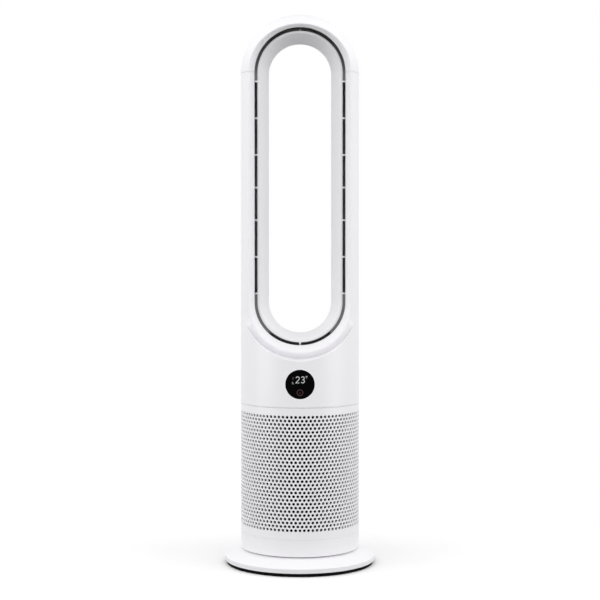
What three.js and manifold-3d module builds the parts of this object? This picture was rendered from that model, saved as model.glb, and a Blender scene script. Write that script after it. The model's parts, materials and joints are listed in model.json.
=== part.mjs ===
// Bladeless tower fan, in millimetres, +Z up, front towards -Y, origin under the middle of the base.
// Air enters through the perforated covers, passes the filters, is driven up by the impeller in the
// motor bucket and leaves through the narrow slot round the front of the loop.
import * as THREE from "three";
import { mergeVertices } from "three/addons/utils/BufferGeometryUtils.js";
import Module from "manifold-3d";

const wasm = await Module();
wasm.setup();

// ---------------------------------------------------------------- driving dimensions
const gap = 0.3; // clearance between neighbouring pieces
const seam = 0.4; // visible joint between two shells
const wall = 2.5; // moulded shells
const bigSides = 32; // facets round the body
const drumSides = 18; // facets round inner turned parts
const pinSides = 8; // facets round screws and posts

// base
const baseRadius = 130;
const footInset = 3; // of the rubber foot inside the base's outline
const footWidth = 13;
const footHeight = 5.8;
const plateThickness = 2.5;
const bandTop = 13.8; // top of the base cover's upright band
const rimInset = 4.5; // of the base cover's rim inside the body's outline
const coverRimTop = 26.2;
const turnGap = 1.4; // dark gap between base cover and collar
const bossRadius = 4;
const screwRadius = 1.8;
const screwHeadRadius = 3.6;
const screwHeadHeight = 2;

// pivot and drive
const hubRadius = 14;
const hubBore = 7;
const hubFlangeRadius = 34;
const hubFlangeThickness = 3;
const clipThickness = 2;
const clipRadius = 21;
const clipGroove = 1.8;
const gearModule = 1.5;
const sunTeeth = 36;
const pinionTeeth = 12;
const gearThickness = 7;
const gearBacklash = 0.5;
const gearSpread = 0.2; // added to the centre distance
const slideRingInset = 15.5;
const slideRingWidth = 8;
const slideRingThickness = 3;
const turntableInset = 8;
const turntableThickness = 3.4;
const driveMotorRadius = 20;
const driveMotorHeight = 15;
const driveMotorOffset = 9; // of the motor's body from its own shaft
const driveShaftRadius = 3;
const sleeveRadius = 20;
const sleeveRise = 7;
const sleeveDrop = 1.8; // of the sleeve's lower end over the gear
const pressureAngle = Math.PI / 9;
const rootDepth = 1.25; // in modules
const tipHeight = 0.9; // in modules
const boardWidth = 60;
const boardDepth = 36;
const boardFront = 34;
const boardRise = 6;
const glandWidth = 11.4;
const glandHeight = 6.2;
const glandLength = 11;
const glandFlange = 2.5;
const cordRadius = 2.5;

// tower
const bodyRadius = 102.5;
const collarHeight = 28.8;
const inletHeight = 222.9; // from the collar up to the head
const deckThickness = 2.8;
const ledgeWidth = 4;
const coverWall = 3;
const coverSeam = 0.6;
const lipInset = 14.5; // of the cover's lips that hold a filter, inside the body's outline
const collarFloorInset = 18.5;
const holeRows = 4;
const holeColumns = 6;
const holeRadius = 14;
const holeMargin = 22;
const filterInset = 11;
const filterDepth = 14.5;
const filterPleats = 22;
const pleatDepth = 10;
const filterEdge = 0.01; // angle left free at each end of a filter half
const railWidth = 20;
const railThickness = 5.6;
const cageGap = 3; // between a filter and the cage
const cageBar = 4;
const cageBars = 8;
const topDeckDrop = 7; // under the head
const topDeckThickness = 3;
const topDeckLip = 1; // how far the head stands over the deck's lip
const upstandRise = 7.7; // of the deck's upstand into the head
const headScrewInset = 14.5;
const bossRise = 15;

// fan drive
const bucketGap = 10; // between the cage and the bucket
const bucketWall = 2;
const bucketDepth = 175.3; // below the head
const stepRise = 46; // of the bucket's inner step over its bottom
const bellmouthRoll = 18; // width of the rolled lip
const bellmouthHeight = 14;
const bladeGap = 2; // between the blades and the bucket
const impellerHeight = 38;
const impellerBlades = 9;
const bladeThickness = 2;
const bladeTwist = 0.6;
const vaneTwist = 0.35;
const stepWidth = 2;
const bucketFlange = 10;
const shaftRadius = 4;
const bearingRadius = 11;
const bearingHeight = 6;
const mountThickness = 3;
const diffuserHeight = 46;
const diffuserVanes = 11;
const motorRadius = 40;
const motorStack = 24;
const laminationDepth = 10;
const windingDepth = 5.2;
const airGap = 2; // between the winding and the magnet
const capHeight = 26;

// head and loop
const neckHeight = 71.2; // of the plain drum under the loop's lower round end
const limbLength = 394; // from there to the centre of the arch
const arcSteps = 16; // facets in each round end
const flankInset = 3;
const scoopRise = 4; // how much less the scoop reaches down than its own round end would
const ridgeInset = 15.5;
const slotInset = 24.5;
const noseInset = 25.5;
const ridge = [bodyRadius - ridgeInset, -54];
const slotLip = [bodyRadius - slotInset, -31.5];
const slotWidth = 4.7;
const rimWidth = 4;
const rimFront = -26.5;
const throatInset = 24; // of the throat inside the slot's lip
const throatDepth = 10;
const linerWall = 2.4;
const linerRear = 44;
const noseEdgeDepth = 49;
const noseFloor = 56; // depth of the level floor behind the loop's lower end
const noseTip = [bodyRadius - noseInset, 62];
const shellSplit = 30; // depth of the joint between front and rear shell
const ribThickness = 2.8;
const ribShares = [0, 0.284, 0.604, 0.924]; // places of the slot ribs on half a straight limb
const webAngle = 45;
const webReach = [slotLip[0] - 6, slotLip[0] + 4];
const webThickness = 2;
const rearFlare = 7.5;
const displayRadius = 24.75;
const displayRise = 38.7; // of the display's centre over the head's lower edge
const displayWindow = 20;

// ---------------------------------------------------------------- geometry helpers
const asVector = ([x, y]) => new THREE.Vector2(x, y);

// A closed geometry as a solid: shared corners merged, slivers dropped, faces turned outwards.
function toSolid(geometry) {
  const bare = geometry.clone();
  bare.deleteAttribute("normal");
  bare.deleteAttribute("uv");
  const merged = mergeVertices(bare);
  const spots = merged.attributes.position.array;
  const index = merged.index.array;
  const corner = (i) => new THREE.Vector3().fromArray(spots, 3 * i);
  const triangles = [];
  let volume = 0;
  for (let t = 0; t < index.length; t += 3) {
    const [a, b, c] = [index[t], index[t + 1], index[t + 2]];
    if (a === b || b === c || a === c) continue;
    triangles.push([a, b, c]);
    volume += corner(a).dot(corner(b).cross(corner(c)));
  }
  if (volume < 0) triangles.forEach((triangle) => triangle.reverse());
  const mesh = new wasm.Mesh({
    numProp: 3,
    vertProperties: new Float32Array(spots),
    triVerts: new Uint32Array(triangles.flat()),
  });
  return new wasm.Manifold(mesh);
}

// Revolves a closed outline of [radius, height] points about an upright axis.
function turned(outline, sides, [x, y] = [0, 0]) {
  const geometry = new THREE.LatheGeometry([...outline, outline[0]].map(asVector), sides);
  return toSolid(geometry.rotateX(Math.PI / 2).translate(x, y, 0));
}

function ring(outer, inner, bottom, top, sides, spot) {
  return turned([[inner, bottom], [outer, bottom], [outer, top], [inner, top]], sides, spot);
}

function disc(radius, bottom, top, [x, y], sides = pinSides) {
  const geometry = new THREE.CylinderGeometry(radius, radius, top - bottom, sides);
  return toSolid(geometry.rotateX(Math.PI / 2).translate(x, y, (top + bottom) / 2));
}

// A cylinder lying along Y, from the front depth to the back depth.
function plug(radius, [front, back], [x, z], sides = bigSides) {
  const geometry = new THREE.CylinderGeometry(radius, radius, back - front, sides);
  return toSolid(geometry.translate(x, (front + back) / 2, z));
}

function block([x0, x1], [y0, y1], [z0, z1], turn = 0) {
  const geometry = new THREE.BoxGeometry(x1 - x0, y1 - y0, z1 - z0);
  geometry.translate((x0 + x1) / 2, (y0 + y1) / 2, (z0 + z1) / 2);
  return toSolid(geometry.rotateZ(turn));
}

// A flat outline raised from one height to another.
function raised(outline, bottom, top, [x, y] = [0, 0]) {
  const options = { depth: top - bottom, bevelEnabled: false };
  const geometry = new THREE.ExtrudeGeometry(new THREE.Shape(outline.map(asVector)), options);
  return toSolid(geometry.translate(x, y, bottom));
}

// A body through a row of sections with equally many corners each. Every side is split along its
// shorter diagonal, so that the two faces of a thin twisted blade stay parallel.
function lofted(sections) {
  const count = sections[0].length;
  const corners = sections.flat().map((spot) => new THREE.Vector3(...spot));
  const length = (from, to) => corners[from].distanceTo(corners[to]);
  const index = [];
  for (let layer = 0; layer < sections.length - 1; layer++) {
    for (let i = 0; i < count; i++) {
      const [a, b] = [layer * count + i, layer * count + ((i + 1) % count)];
      const [up, over] = [a + count, b + count];
      if (length(a, over) < length(b, up)) index.push(a, b, over, a, over, up);
      else index.push(a, b, up, b, over, up);
    }
  }
  const last = (sections.length - 1) * count;
  for (let i = 1; i < count - 1; i++) index.push(0, i + 1, i, last, last + i, last + i + 1);
  const geometry = new THREE.BufferGeometry();
  geometry.setAttribute("position", new THREE.Float32BufferAttribute(sections.flat(2), 3));
  geometry.setIndex(index);
  return toSolid(geometry);
}

const join = (solids) => solids.reduce((sum, solid) => sum.add(solid));
const cut = (solid, tools) => tools.reduce((rest, tool) => rest.subtract(tool), solid);
const repeat = (count, make) => Array.from({ length: count }, (unused, i) => make(i));
const onCircle = (radius, angle) => [radius * Math.cos(angle), radius * Math.sin(angle)];
const turns = (count) => repeat(count, (i) => (2 * Math.PI * i) / count);

// Sweeps [offset from the spine, depth] points round a path. The section is fixed or made anew for
// each station. An open section is capped flat at both ends, a closed one makes a ring.
function swept(section, path, isRing = false) {
  const sections = path.map((station) => (typeof section === "function" ? section(station) : section));
  const spots = [];
  const index = [];
  const around = path.length;
  const across = sections[0].length;
  for (let row = 0; row < across; row++) {
    path.forEach(([side, up, height], i) => {
      const [offset, depth] = sections[i][row];
      spots.push(offset * side, depth, height + offset * up);
    });
  }
  const layers = isRing ? across : across - 1;
  for (let layer = 0; layer < layers; layer++) {
    const here = layer * around;
    const next = ((layer + 1) % across) * around;
    for (let i = 0; i < around; i++) {
      const j = (i + 1) % around;
      index.push(here + i, next + i, next + j, here + i, next + j, here + j);
    }
  }
  const last = layers * around;
  for (let i = 1; !isRing && i < around - 1; i++) index.push(0, i, i + 1, last, last + i + 1, last + i);
  const geometry = new THREE.BufferGeometry();
  geometry.setAttribute("position", new THREE.Float32BufferAttribute(spots, 3));
  geometry.setIndex(index);
  return toSolid(geometry);
}

// Moves every edge of a path sideways by the same distance; positive goes left of its direction.
function shifted(path, distance) {
  const points = path.map(asVector);
  const normals = points.slice(1).map((point, i) => {
    const along = point.clone().sub(points[i]).normalize();
    return new THREE.Vector2(-along.y, along.x);
  });
  return points.map((point, i) => {
    const before = normals[Math.max(i - 1, 0)];
    const after = normals[Math.min(i, normals.length - 1)];
    const share = distance / (1 + before.dot(after));
    return point.clone().addScaledVector(before, share).addScaledVector(after, share).toArray();
  });
}

// ---------------------------------------------------------------- materials and the assembly
const finish = (color, roughness, metalness = 0) =>
  new THREE.MeshStandardMaterial({ color, roughness, metalness });
const finishes = {
  white: finish(0xf1f1ef, 0.38),
  liner: finish(0xdedddb, 0.42),
  black: finish(0x121213, 0.25),
  rubber: finish(0x18181a, 0.85),
  steel: finish(0xa9abad, 0.4, 1),
  inner: finish(0x3a3b3d, 0.6),
  gear: finish(0xe6e0cf, 0.5),
  filter: finish(0x2b2b2d, 0.95),
  board: finish(0x1d5a35, 0.55),
  copper: finish(0xb4693a, 0.45, 1),
};

const fan = new THREE.Group();
fan.name = "bladeless_fan";

function addPiece(name, solid, look) {
  const mesh = solid.getMesh();
  const geometry = new THREE.BufferGeometry();
  geometry.setAttribute("position", new THREE.Float32BufferAttribute(mesh.vertProperties, 3));
  geometry.setIndex(new THREE.Uint32BufferAttribute(mesh.triVerts, 1));
  geometry.computeVertexNormals();
  const piece = new THREE.Mesh(geometry, finishes[look]);
  piece.name = name;
  fan.add(piece);
}

// ---------------------------------------------------------------- heights worked out from the sizes
const footRadius = baseRadius - footInset;
const footInner = footRadius - footWidth;
const baseScrewCircle = footInner - screwHeadRadius - 1;
const coverRimRadius = bodyRadius - rimInset;
const slideRingRadius = bodyRadius - slideRingInset;
const turntableRadius = bodyRadius - turntableInset;
const plateBottom = footHeight + gap;
const plateTop = plateBottom + plateThickness;
const collarBottom = coverRimTop + turnGap;
const turntableTop = collarBottom + turnGap;
const turntableBottom = turntableTop - turntableThickness;
const slideRingTop = turntableBottom - gap;
const trackTop = slideRingTop - slideRingThickness - gap;
const collarFloor = turntableTop + gap;
const hubFlangeTop = plateTop + gap + hubFlangeThickness;
const gearBottom = hubFlangeTop + gap;
const gearTop = gearBottom + gearThickness;
const sleeveBottom = gearTop + sleeveDrop;
const sleeveTop = turntableTop + sleeveRise;
const clipBottom = sleeveTop + gap;
const clipTop = clipBottom + clipThickness;
const sunRadius = (gearModule * sunTeeth) / 2;
const pinionRadius = (gearModule * pinionTeeth) / 2;
const driveSpot = sunRadius + pinionRadius + gearSpread; // of the pinion, from the tower's axis
const collarTop = collarBottom + collarHeight;
const headBottom = collarTop + inletHeight;
const topDeckBottom = headBottom - topDeckDrop;
const upstandTop = headBottom + upstandRise;
const displayHeight = headBottom + displayRise;
const spineBottom = headBottom + neckHeight + bodyRadius;
const spineTop = spineBottom + limbLength;
const deckBottom = collarTop - deckThickness;
const coverBottom = collarTop + coverSeam;
const innerRadius = bodyRadius - wall;
const coverInner = bodyRadius - coverWall;
const coverLip = bodyRadius - lipInset;
const collarFloorRadius = bodyRadius - collarFloorInset;
const filterOuter = bodyRadius - filterInset;
const filterInner = filterOuter - filterDepth;
const cageRadius = filterInner - cageGap;
const bucketRadius = cageRadius - bucketGap;
const bucketBottom = headBottom - bucketDepth;
const stepHeight = bucketBottom + stepRise;
const bellmouthThroat = bucketRadius - bellmouthRoll;
const impellerRadius = bucketRadius - bucketWall - stepWidth - bladeGap;
const headScrewCircle = bodyRadius - headScrewInset;
const throatRadius = slotLip[0] - throatInset;
const topDeckTop = topDeckBottom + topDeckThickness;
const coverTop = headBottom - gap - topDeckLip - gap;
const flangeTop = topDeckBottom - 4;
const plateRadius = baseRadius - wall - gap;
const quarterSpots = (radius) => [1, 3, 5, 7].map((eighth) => onCircle(radius, (eighth * Math.PI) / 4));

// Stations of a path round the loop, as [sideways, upwards, height of the centre]: the arch from
// right to left, then either the lower round end or the two square lower corners of the drum.
const halfTurn = (start, height) =>
  repeat(arcSteps + 1, (i) => [...onCircle(1, start + (i * Math.PI) / arcSteps), height]);
const loopPath = [...halfTurn(0, spineTop), ...halfTurn(Math.PI, spineBottom)];
const drumPath = (bottom) => [...halfTurn(0, spineTop), [-1, 0, bottom], [1, 0, bottom]];

// A screw on its head, with its shank pointing up.
function screw(headTop, length, spot) {
  const head = disc(screwHeadRadius, headTop - screwHeadHeight, headTop, spot);
  return head.add(disc(screwRadius, headTop - screwHeadHeight / 2, headTop + length, spot));
}

// ---------------------------------------------------------------- base
function addBase() {
  const spots = quarterSpots(baseScrewCircle);
  addPiece("foot_ring", ring(footRadius, footInner, 0, footHeight, bigSides), "rubber");

  const trackHalf = slideRingWidth / 2 + 1;
  const notchDepth = baseRadius - glandLength - 2;
  const plate = turned([
    [hubBore, plateBottom], [plateRadius, plateBottom], [plateRadius, plateTop],
    [slideRingRadius + trackHalf, plateTop], [slideRingRadius + trackHalf, trackTop],
    [slideRingRadius - trackHalf, trackTop], [slideRingRadius - trackHalf, plateTop],
    [hubBore, plateTop],
  ], bigSides);
  const notchSide = glandWidth / 2 + glandFlange + 1;
  const notch = block([-notchSide, notchSide], [notchDepth, baseRadius], [0, trackTop]);
  const holes = spots.map((spot) => disc(screwRadius + gap, 0, trackTop, spot));
  addPiece("base_plate", cut(plate, [notch, ...holes]), "steel");

  // Upright band, crease and shallow cone up to the turning gap, with the same wall inside.
  const outside = [
    [baseRadius, plateBottom], [baseRadius, bandTop - 1], [baseRadius - 1, bandTop],
    [coverRimRadius + 3, coverRimTop - 1], [coverRimRadius, coverRimTop], [coverRimRadius - 1, coverRimTop],
  ];
  const inside = shifted(outside.slice(0, 4), wall).reverse();
  const shell = turned([...outside, [coverRimRadius - 1, coverRimTop - wall], ...inside], bigSides);
  const coneSlope = (coverRimTop - 1 - bandTop) / (baseRadius - coverRimRadius - 4);
  const coneAt = (radius) => coverRimTop - 1 - (radius - coverRimRadius - 3) * coneSlope;
  const boreTop = Math.min(coneAt(baseScrewCircle + screwRadius), coverRimTop) - wall;
  const underCone = turned([[bossRadius, plateBottom], [baseRadius - wall, plateBottom],
    ...shifted(outside.slice(1, 5), wall / 2), [bossRadius, coverRimTop - wall]], bigSides);
  const bosses = spots.map((spot) =>
    disc(bossRadius, plateTop + gap, coverRimTop, spot).intersect(underCone));
  const bores = spots.map((spot) => disc(screwRadius + gap, 0, boreTop, spot));
  const glandTop = plateBottom + gap + glandHeight;
  const mouth = glandWidth / 2 + gap;
  const opening = block([-mouth, mouth], [notchDepth, baseRadius + 1], [0, glandTop + gap]);
  addPiece("base_cover", cut(join([shell, ...bosses]), [opening, ...bores]), "white");

  const glandBack = Math.sqrt((baseRadius * Math.cos(Math.PI / bigSides)) ** 2 - mouth ** 2) - gap;
  const flangeBack = baseRadius - wall - 1;
  const flangeSide = mouth + glandFlange;
  const gland = join([
    block([-glandWidth / 2, glandWidth / 2], [baseRadius - glandLength, glandBack],
      [plateBottom + gap, glandTop]),
    block([-flangeSide, flangeSide], [baseRadius - glandLength, flangeBack],
      [plateBottom + gap, glandTop - glandFlange]),
  ]);
  const cordHole = plug(cordRadius, [baseRadius - glandLength - 1, baseRadius + 1],
    [0, plateBottom + gap + glandHeight / 2], pinSides);
  addPiece("cord_gland", gland.subtract(cordHole), "rubber");
  spots.forEach((spot, i) => addPiece(`base_screw_${i + 1}`, screw(plateBottom - gap, 10, spot), "steel"));

  const groove = hubRadius - clipGroove;
  addPiece("pivot_hub", turned([
    [hubBore, plateTop + gap], [hubFlangeRadius, plateTop + gap], [hubFlangeRadius, hubFlangeTop],
    [hubRadius, hubFlangeTop], [hubRadius, clipBottom - gap], [groove, clipBottom - gap],
    [groove, clipTop + gap], [hubRadius, clipTop + gap], [hubRadius, clipTop + clipThickness],
    [hubBore, clipTop + clipThickness],
  ], drumSides), "steel");
  addPiece("retaining_clip", ring(clipRadius, groove + gap, clipBottom, clipTop, drumSides), "steel");

  const half = slideRingWidth / 2;
  addPiece("slide_ring", ring(slideRingRadius + half, slideRingRadius - half,
    slideRingTop - slideRingThickness, slideRingTop, bigSides), "gear");
  const gear = raised(gearOutline(sunTeeth, 0), gearBottom, gearTop);
  addPiece("fixed_gear", gear.subtract(disc(hubRadius + gap, 0, gearTop + 1, [0, 0], drumSides)), "gear");
}

// Straight-sided teeth close to an involute, narrowed for backlash.
function gearOutline(teeth, phase) {
  const pitch = (gearModule * teeth) / 2;
  const slope = Math.tan(pressureAngle);
  const toothHalf = (Math.PI * gearModule - gearBacklash) / 4;
  const levels = [
    [pitch - rootDepth * gearModule, toothHalf + rootDepth * gearModule * slope],
    [pitch + tipHeight * gearModule, toothHalf - tipHeight * gearModule * slope],
  ];
  const corners = [levels[0], levels[1], levels[1], levels[0]];
  return repeat(teeth, (tooth) => corners.map(([radius, half], i) => {
    const side = i < 2 ? -1 : 1;
    return onCircle(radius, ((tooth + phase) * 2 * Math.PI) / teeth + (side * half) / radius);
  })).flat();
}

// ---------------------------------------------------------------- lower end of the tower
function addTurntable() {
  const posts = [-1, 1].flatMap((side) => [boardFront + 4, boardFront + boardDepth - 4].map((y) =>
    [side * (boardWidth / 2 - 5), y]));
  const table = turned([
    [hubRadius + gap, sleeveBottom], [sleeveRadius, sleeveBottom], [sleeveRadius, turntableBottom],
    [turntableRadius, turntableBottom], [turntableRadius, turntableTop], [sleeveRadius, turntableTop],
    [sleeveRadius, sleeveTop], [hubRadius + gap, sleeveTop],
  ], bigSides);
  const boardBottom = turntableTop + boardRise;
  const stands = posts.map((spot) => disc(3, turntableBottom + 1, boardBottom - gap, spot));
  const pins = posts.map((spot) => disc(1.2, turntableTop, boardBottom + 3, spot));
  const shaftHole = disc(driveShaftRadius + gap, 0, turntableTop + 1, [driveSpot, 0]);
  addPiece("turntable", join([table, ...stands, ...pins]).subtract(shaftHole), "inner");

  const board = block([-boardWidth / 2, boardWidth / 2], [boardFront, boardFront + boardDepth],
    [boardBottom, boardBottom + 1.6]);
  const middle = boardFront + boardDepth / 2;
  const parts = [
    block([-18, -2], [middle - 8, middle + 8], [boardBottom + 1, boardBottom + 12]),
    disc(5, boardBottom + 1, boardBottom + 13, [8, middle]),
    disc(4, boardBottom + 1, boardBottom + 10, [18, middle + 3]),
  ];
  const pinHoles = posts.map((spot) => disc(1.2 + gap, 0, boardBottom + 4, spot));
  addPiece("control_board", cut(join([board, ...parts]), pinHoles), "board");

  const motorSpot = [driveSpot + driveMotorOffset, 0];
  const driveBottom = turntableTop + gap;
  const shaftBore = disc(driveShaftRadius + gap, 0, driveBottom + driveMotorHeight + 1, [driveSpot, 0]);
  addPiece("drive_motor", disc(driveMotorRadius, driveBottom, driveBottom + driveMotorHeight, motorSpot,
    drumSides).subtract(shaftBore), "steel");
  const pinion = raised(gearOutline(pinionTeeth, 0.5), gearBottom, gearTop, [driveSpot, 0]);
  addPiece("drive_pinion", pinion.add(disc(driveShaftRadius, gearTop - 1,
    driveBottom + driveMotorHeight - 1, [driveSpot, 0])), "gear");

  const ledgeTop = deckBottom - gap;
  addPiece("lower_collar", turned([
    [collarFloorRadius, collarFloor], [bodyRadius - 5.5, collarFloor], [bodyRadius - 5.5, collarBottom],
    [bodyRadius - 1, collarBottom], [bodyRadius, collarBottom + 1], [bodyRadius, collarTop],
    [innerRadius + gap, collarTop], [innerRadius + gap, ledgeTop], [innerRadius - ledgeWidth, ledgeTop],
    [innerRadius - ledgeWidth, ledgeTop - wall], [innerRadius, ledgeTop - wall - ledgeWidth],
    [innerRadius, collarFloor + wall], [collarFloorRadius, collarFloor + wall],
  ], bigSides), "white");
  addPiece("service_deck", ring(innerRadius, hubRadius, deckBottom, collarTop, bigSides), "inner");
}

// ---------------------------------------------------------------- air inlet
function addInlet() {
  const bottom = collarTop + gap;
  const top = topDeckBottom - gap;
  const bars = turns(cageBars).map((angle) => block([cageRadius - cageBar, cageRadius - 0.5],
    [-cageBar / 2, cageBar / 2], [bottom + 1, top - 1], angle + Math.PI / cageBars));
  const hoops = [[bottom, bottom + cageBar], [top - cageBar, top]].map(([low, high]) =>
    ring(cageRadius, cageRadius - cageBar, low, high, drumSides));
  addPiece("filter_cage", join([...hoops, ...bars]), "inner");

  const railOuter = coverInner - 2 * gap;
  const rails = ring(railOuter, railOuter - railThickness, bottom, top, bigSides);
  const half = railWidth / 2;
  addPiece("side_rail_left", rails.intersect(block([-bodyRadius, 0], [-half, half], [0, top])), "inner");
  addPiece("side_rail_right", rails.intersect(block([0, bodyRadius], [-half, half], [0, top])), "inner");

  // Each cover is half of one perforated drum with a lip at both ends that holds its filter.
  const lip = coverLip;
  const drum = turned([
    [lip, coverBottom], [bodyRadius, coverBottom], [bodyRadius, coverTop], [coverInner, coverTop],
    [coverInner, flangeTop], [lip, flangeTop], [lip, flangeTop - 2], [coverInner, flangeTop - 2],
    [coverInner, coverBottom + 2], [lip, coverBottom + 2],
  ], bigSides);
  const railRoom = Math.sqrt((railOuter - railThickness) ** 2 - half ** 2) - 3 * gap;
  const reach = 2 * baseRadius;
  const clear = (side) => block(side < 0 ? [-coverInner, -railRoom] : [railRoom, coverInner],
    [-half - gap, half + gap], [coverBottom - 1, flangeTop + 0.5])
    .intersect(ring(coverInner, 1, 0, coverTop, bigSides));
  const rowStep = (coverTop - coverBottom - 2 * holeMargin) / (holeRows - 1);
  const columnStep = Math.PI / (holeColumns + 1);
  const holes = [];
  for (let row = 0; row < holeRows; row++) {
    const shift = row % 2 ? 0.5 : 1;
    for (let column = 0; column < holeColumns + (row % 2); column++) {
      const geometry = new THREE.CylinderGeometry(holeRadius, holeRadius, 4 * coverWall, 6);
      geometry.translate(0, bodyRadius, 0);
      geometry.rotateZ((column + shift) * columnStep - Math.PI / 2);
      geometry.translate(0, 0, coverBottom + holeMargin + row * rowStep);
      holes.push(geometry);
    }
  }
  const filterSpan = Math.PI - 2 * filterEdge;
  const filterSection = [];
  for (let fold = 0; fold <= 2 * filterPleats; fold++) {
    const angle = filterEdge + (fold * filterSpan) / (2 * filterPleats);
    filterSection.push(onCircle(fold % 2 ? filterOuter - pleatDepth : filterOuter, angle));
  }
  for (let step = filterPleats; step >= 0; step--) {
    filterSection.push(onCircle(filterInner, filterEdge + (step * filterSpan) / filterPleats));
  }
  const filter = (side) => raised(filterSection.map(([x, y]) => [x, side * y]),
    coverBottom + 2 + gap, flangeTop - 2 - gap);
  for (const [name, side] of [["front", -1], ["rear", 1]]) {
    const room = side < 0 ? [-reach, -gap] : [gap, reach];
    const tools = holes.map((hole) => toSolid(hole.clone().rotateZ(side < 0 ? Math.PI : 0)));
    const shell = drum.intersect(block([-reach, reach], room, [0, reach * 2]));
    addPiece(`${name}_cover`, cut(shell, [clear(-1), clear(1), ...tools]), "white");
    addPiece(`${name}_filter`, filter(side), "filter");
  }
}

// ---------------------------------------------------------------- fan drive
function addDrive() {
  const flangeBottom = topDeckTop + gap;
  const flangeRadius = bucketRadius + bucketFlange;
  const inner = bucketRadius - bucketWall;
  addPiece("motor_bucket", turned([
    [inner - stepWidth, bucketBottom], [bucketRadius, bucketBottom], [bucketRadius, flangeBottom],
    [flangeRadius, flangeBottom], [flangeRadius, flangeBottom + bucketWall],
    [inner, flangeBottom + bucketWall], [inner, stepHeight], [inner - stepWidth, stepHeight],
  ], drumSides), "inner");

  // The bellmouth is a rolled lip that guides the air into the impeller's eye.
  const lipTop = bucketBottom - gap;
  const lipBottom = lipTop - bellmouthHeight;
  const throat = bellmouthThroat;
  const roll = (bucketRadius - throat) / 2;
  const outside = [0, 1, 2, 3].map((i) => {
    const angle = Math.PI + (i * Math.PI) / 3;
    return [throat + roll + roll * Math.cos(angle), lipBottom + roll + roll * Math.sin(angle)];
  });
  const inside = shifted([[throat, lipTop], ...outside, [bucketRadius, lipTop]], bucketWall).reverse();
  addPiece("inlet_bellmouth", turned([
    [throat, lipTop], ...outside, [bucketRadius, lipTop], ...inside,
  ], drumSides), "inner");

  const wheelBottom = bucketBottom + 2;
  const wheelTop = wheelBottom + impellerHeight;
  const bore = shaftRadius + gap;
  const noseRadius = bearingRadius + 3;
  const hubAt = (share) => noseRadius + (motorRadius - noseRadius) * Math.sin((share * Math.PI) / 2);
  const tipAt = (share) => throat - 2 + (impellerRadius - throat + 2) * share;
  const heightAt = (share) => wheelBottom + impellerHeight * share;
  const shares = [0, 0.25, 0.5, 0.75, 1];
  const front = shares.map((share) => [hubAt(share), heightAt(share)]);
  const back = shifted(front, 2.5).reverse();
  const hub = turned([
    [bore, wheelBottom], ...front, ...back.slice(0, 4), [bore + 5, heightAt(0.25)],
    [bore + 5, heightAt(0.6)], [bore, heightAt(0.6)],
  ], drumSides);
  const blades = turns(impellerBlades).map((start) => lofted(shares.map((share) => {
    const angle = start + bladeTwist * share;
    const height = heightAt(share) - 0.2;
    const half = bladeThickness / 2;
    return [[hubAt(share) - 1.5, -half], [tipAt(share), -half], [tipAt(share), half],
      [hubAt(share) - 1.5, half]].map(([along, across]) => [
      along * Math.cos(angle) - across * Math.sin(angle),
      along * Math.sin(angle) + across * Math.cos(angle), height]);
  })));
  addPiece("impeller", join([hub, ...blades]), "gear");

  const mountBottom = stepHeight + gap;
  const mountTop = mountBottom + mountThickness;
  const outer = inner - gap;
  addPiece("mount_ring", ring(outer, inner - stepWidth, mountBottom, mountTop, drumSides), "rubber");

  const floorBottom = mountTop + gap;
  const floorTop = floorBottom + 3;
  const rim = floorBottom + diffuserHeight;
  const seat = bearingRadius + gap;
  const inHousing = motorRadius - wall;
  const housing = turned([
    [bore + 1, floorBottom], [motorRadius, floorBottom], [motorRadius, rim], [inHousing, rim],
    [inHousing, floorTop], [seat + wall, floorTop], [seat + wall, floorTop + bearingHeight],
    [seat, floorTop + bearingHeight], [seat, floorTop], [bore + 1, floorTop],
  ], drumSides);
  const outerRing = ring(outer, outer - wall, floorBottom, rim, drumSides);
  const vanes = turns(diffuserVanes).map((start) => lofted([0, 0.5, 1].map((share) => {
    const angle = start - vaneTwist * (1 - share) ** 2;
    const height = floorBottom + 3 + (diffuserHeight - 6) * share;
    return [[motorRadius - 1, -1], [outer - 1, -1], [outer - 1, 1], [motorRadius - 1, 1]].map(
      ([along, across]) => [along * Math.cos(angle) - across * Math.sin(angle),
        along * Math.sin(angle) + across * Math.cos(angle), height]);
  })));
  addPiece("diffuser", join([housing, outerRing, ...vanes]), "inner");

  const bearing = (bottom) => ring(bearingRadius, bore, bottom, bottom + bearingHeight, drumSides);
  const capSeatTop = rim + 0.5;
  addPiece("bearing_lower", bearing(floorTop + gap), "steel");
  addPiece("bearing_upper", bearing(capSeatTop - gap - bearingHeight), "steel");
  const stackBottom = floorTop + bearingHeight + 3;
  const stackTop = stackBottom + motorStack;
  const laminationInner = inHousing - laminationDepth;
  const windingInner = laminationInner - gap - windingDepth;
  const magnetRadius = windingInner - airGap;
  const laminations = ring(inHousing - gap, laminationInner, stackBottom, stackTop, drumSides);
  addPiece("motor_stator", laminations, "steel");
  addPiece("motor_winding", ring(laminationInner - gap, windingInner, stackBottom - 2, stackTop + 2,
    drumSides), "copper");
  addPiece("rotor_magnet", ring(magnetRadius, bore, stackBottom, stackTop, drumSides), "inner");
  addPiece("motor_shaft", disc(shaftRadius, bucketBottom - 4, capSeatTop + 1, [0, 0]), "steel");
  const nut = raised(turns(6).map((angle) => onCircle(8, angle)), wheelBottom - gap - 5, wheelBottom - gap);
  addPiece("impeller_nut", nut.subtract(disc(bore, 0, wheelTop, [0, 0])), "steel");

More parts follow.
